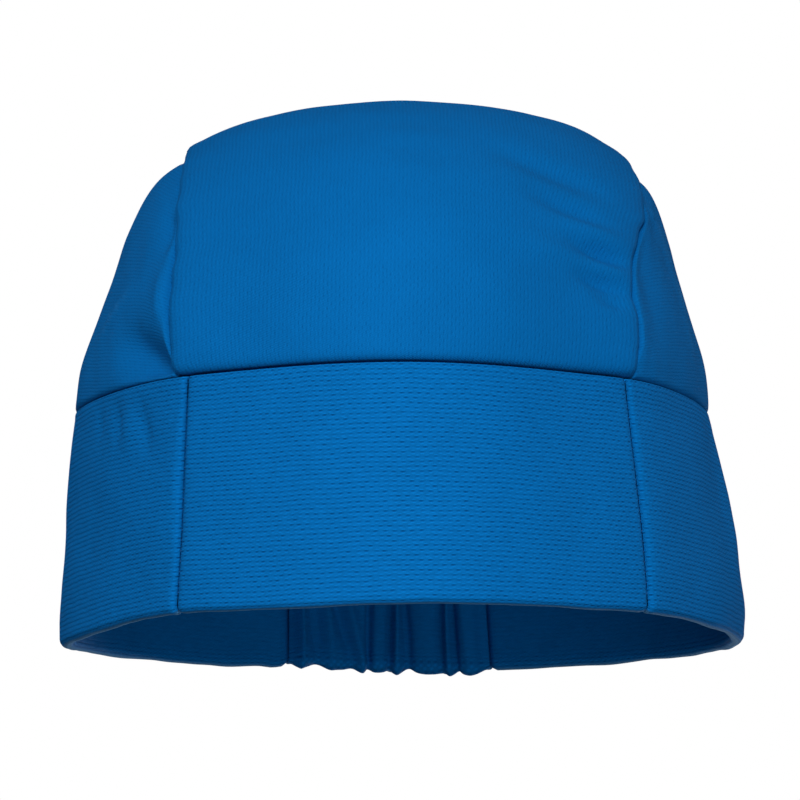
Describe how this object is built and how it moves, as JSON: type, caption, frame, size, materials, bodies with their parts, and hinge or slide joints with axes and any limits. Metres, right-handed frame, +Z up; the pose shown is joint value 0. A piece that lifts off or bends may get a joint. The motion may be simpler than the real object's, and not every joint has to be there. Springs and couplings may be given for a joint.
{
  "type": "sports skull cap",
  "caption": "Soft knitted sports skull cap: domed crown on a wide folded brow band with a sweat pad, drawn in at the nape by a gathered elastic section.",
  "frame": {"origin": "centre of the hem's outline, on the plane that the hem rests on", "axes": "+Z up through the crown; the wearer looks along -Y; +X is the wearer's left side"},
  "size_m": [0.172, 0.2056, 0.134],
  "materials": {
    "band_knit": "matte bird-eye knit, dashes running round the head",
    "crown_knit": "matte bird-eye knit, dashes running front to back on the centre panel",
    "absorbent_pad": "brushed terry, hidden between the walls of the brow band",
    "woven_elastic": "ribbed knitted elastic, hidden in its casing",
    "overlock_thread": "textured polyester overlock thread over the cut cloth edges",
    "label_satin": "blank satin ribbon"
  },
  "bodies": {
    "root": {"crown_centre_panel": "crown_knit", "crown_side_panel_left": "crown_knit", "crown_side_panel_right": "crown_knit", "brow_band_front": "band_knit", "side_band_left": "band_knit", "side_band_right": "band_knit", "rear_elastic_casing": "band_knit", "brow_sweat_pad": "absorbent_pad", "rear_elastic_band": "woven_elastic", "overlock_crown_seam_left": "overlock_thread", "overlock_crown_seam_right": "overlock_thread", "overlock_band_join_seam": "overlock_thread", "overlock_seam_front_left": "overlock_thread", "overlock_seam_front_right": "overlock_thread", "overlock_seam_rear_left": "overlock_thread", "overlock_seam_rear_right": "overlock_thread", "care_label": "label_satin"}
  },
  "joints": []
}
